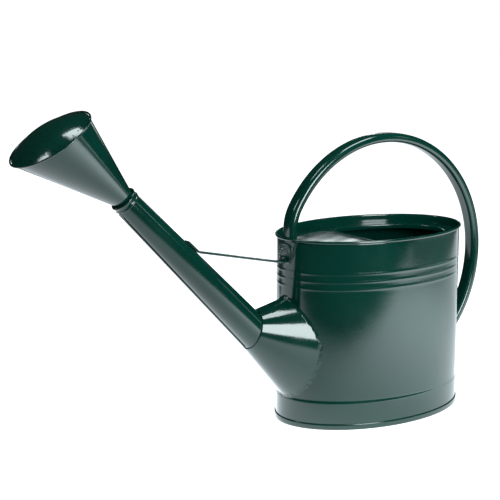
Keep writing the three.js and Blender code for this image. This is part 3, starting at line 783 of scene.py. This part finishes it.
def paper_material():
    """The lit table top as the can reflects it: pools of light that fade out at the edges."""
    m = bpy.data.materials.new("table_paper")
    m.use_nodes = True
    nt = m.node_tree
    nt.nodes.clear()
    out = nt.nodes.new("ShaderNodeOutputMaterial")
    em = nt.nodes.new("ShaderNodeEmission")
    em.inputs[0].default_value = (0.84, 0.95, 1.0, 1)
    nt.links.new(em.outputs[0], out.inputs[0])
    tc = nt.nodes.new("ShaderNodeTexCoord")

    def vec(op, a, b=None):
        n = nt.nodes.new("ShaderNodeVectorMath")
        n.operation = op
        nt.links.new(a, n.inputs[0])
        if b is not None:
            n.inputs[1].default_value = b
        return n.outputs["Value" if op in ("DOT_PRODUCT", "LENGTH") else "Vector"]

    def fade(src, lo_, hi_, to_lo, to_hi):
        n = nt.nodes.new("ShaderNodeMapRange")
        n.interpolation_type = "SMOOTHSTEP"
        for k, v in zip((1, 2, 3, 4), (lo_, hi_, to_lo, to_hi)):
            n.inputs[k].default_value = v
        nt.links.new(src, n.inputs[0])
        return n.outputs[0]

    def calc(op, first, *others):
        for other in others:
            n = nt.nodes.new("ShaderNodeMath")
            n.operation = op
            nt.links.new(first, n.inputs[0])
            nt.links.new(other, n.inputs[1])
            first = n.outputs[0]
        return first

    pos = tc.outputs["Object"]

    def pool_at(x, y, inner, outer, middle, edge):
        """A round pool: one brightness inside the inner radius, another beyond the outer."""
        away = vec("LENGTH", vec("SUBTRACT", pos, (x, y, 0)))
        return fade(away, inner, outer, middle, edge)

    towards = vec("DOT_PRODUCT", pos, TO_CAMERA)
    across = vec("DOT_PRODUCT", pos, TO_RIGHT)
    front = fade(towards, 0.36, 0.56, 1, 0.03)
    side = fade(across, 1.05, 1.3, 1, 0.15)
    side = calc("MAXIMUM", side, fade(across, 1.6, 2.0, 0, 0.9))
    rear_depth = fade(towards, -0.60, -0.47, 0.05, 1)
    rear_width = fade(across, -0.62, -0.42, 0.05, 1)
    rear = calc("MAXIMUM", rear_depth, rear_width)
    lit = pool_at(-0.50, 0.58, 0.0, 0.8, 4.4, 1.6)
    behind = pool_at(0.0, -0.13, 0.04, 0.34, 1.6, 0.0)
    spot = pool_at(-0.91, 1.03, 0.0, 0.12, 1.4, 0.0)
    table = calc("MULTIPLY", front, side, rear, lit)
    nt.links.new(calc("ADD", table, behind, spot), em.inputs[1])
    return m


paper = plane("table_top", -0.0004, 5, paper_material())
paper.visible_camera = False


def area(name, loc, target, w, h, radiance):
    """A soft box of w by h metres at loc, facing the target."""
    li = bpy.data.lights.new(name, "AREA")
    li.shape = "RECTANGLE"
    li.size, li.size_y = w, h
    li.color = (0.88, 1, 1)
    li.energy = radiance * w * h * math.pi
    ob = bpy.data.objects.new(name, li)
    bpy.context.scene.collection.objects.link(ob)
    ob.location = loc
    ob.rotation_mode = "QUATERNION"
    ob.rotation_quaternion = (Vector(target) - Vector(loc)).to_track_quat("-Z", "Y")
    ob.visible_camera = False


world = bpy.data.worlds.new("studio")
bpy.context.scene.world = world
world.use_nodes = True
wn = world.node_tree
wn.nodes.clear()
wout = wn.nodes.new("ShaderNodeOutputWorld")


def background(strength, colour=(1, 1, 1, 1)):
    n = wn.nodes.new("ShaderNodeBackground")
    n.inputs[0].default_value = colour
    n.inputs[1].default_value = strength
    return n


def world_mix(fac, a, b):
    n = wn.nodes.new("ShaderNodeMixShader")
    wn.links.new(fac, n.inputs[0])
    wn.links.new(a.outputs[0], n.inputs[1])
    wn.links.new(b.outputs[0], n.inputs[2])
    return n


lp = wn.nodes.new("ShaderNodeLightPath")
bg_glossy = background(0.015, (0.9, 1, 1, 1))
by_glossy = world_mix(lp.outputs["Is Glossy Ray"], background(0.7), bg_glossy)
by_camera = world_mix(lp.outputs["Is Camera Ray"], by_glossy, background(1.0))
wn.links.new(by_camera.outputs[0], wout.inputs[0])

area("strip_right", (-0.18, 1.25, 0.64), (-0.18, 0.0, 0.64), 0.50, 0.84, 17)
area("box_left", (1.37, -0.40, 1.40), (0.348, 0.04, 0.398), 0.36, 0.40, 11)
area("box_over_boot", (-0.50, 0.40, 1.5), (-0.50, 0.401, 0), 0.60, 0.46, 13)
area("box_over_rose", (0.34, -0.36, 1.5), (0.34, -0.359, 0), 0.34, 0.30, 11)
area("strip_far_right", (-1.10, 0.89, 0.66), (0.2, 0.0, 0.325), 0.08, 0.14, 5)


def card(name, centre, width, height, radiance):
    """A lit backdrop card behind the can, facing it, seen only in reflections."""
    away = Vector((centre[0], centre[1], 0)).normalized()
    half = Vector((-away.y, away.x, 0)) * width / 2
    rise = Vector((0, 0, height / 2))
    mid = Vector(centre)
    me = bpy.data.meshes.new(name)
    corners = [mid - half - rise, mid + half - rise, mid + half + rise, mid - half + rise]
    me.from_pydata(corners, [], [(0, 1, 2, 3)])
    m = bpy.data.materials.new(name)
    m.use_nodes = True
    nt = m.node_tree
    nt.nodes.clear()
    out = nt.nodes.new("ShaderNodeOutputMaterial")
    em = nt.nodes.new("ShaderNodeEmission")
    em.inputs[0].default_value = (0.9, 1.0, 1.0, 1)
    em.inputs[1].default_value = radiance
    nt.links.new(em.outputs[0], out.inputs[0])
    me.materials.append(m)
    ob = bpy.data.objects.new(name, me)
    bpy.context.scene.collection.objects.link(ob)
    ob.visible_camera = False
    ob.visible_diffuse = False


card("backdrop_card", (-0.84, -0.96, 0.60), 0.46, 0.20, 1.1)
card("backdrop_card_bright", (-0.83, -0.95, 0.60), 0.13, 0.12, 4.5)

# ---- camera ----------------------------------------------------------------------------------
TURN, RISE = math.radians(33.662), math.radians(11.078)
LENS, SENSOR = 97.0056, 36.0
DISTANCE, LEFTWARD, UPWARD = 1938.5, 167.83, 222.67  # from the ground under the oval's middle
back = Vector((math.sin(TURN) * math.cos(RISE), math.cos(TURN) * math.cos(RISE), math.sin(RISE)))
right = Vector((-math.cos(TURN), math.sin(TURN), 0))
above = Vector((-math.sin(TURN) * math.sin(RISE), -math.cos(TURN) * math.sin(RISE), math.cos(RISE)))
cam_data = bpy.data.cameras.new("camera")
cam_data.sensor_width = SENSOR
cam_data.lens = LENS
cam = bpy.data.objects.new("camera", cam_data)
bpy.context.scene.collection.objects.link(cam)
offset = back * DISTANCE - right * LEFTWARD + above * UPWARD
cam.location = Vector((CX, 0, 0)) + offset * MM
cam.rotation_mode = "QUATERNION"
cam.rotation_quaternion = (-back).to_track_quat("-Z", "Y")
bpy.context.scene.camera = cam
bpy.context.scene.view_settings.view_transform = "Standard"

bpy.context.view_layer.update()
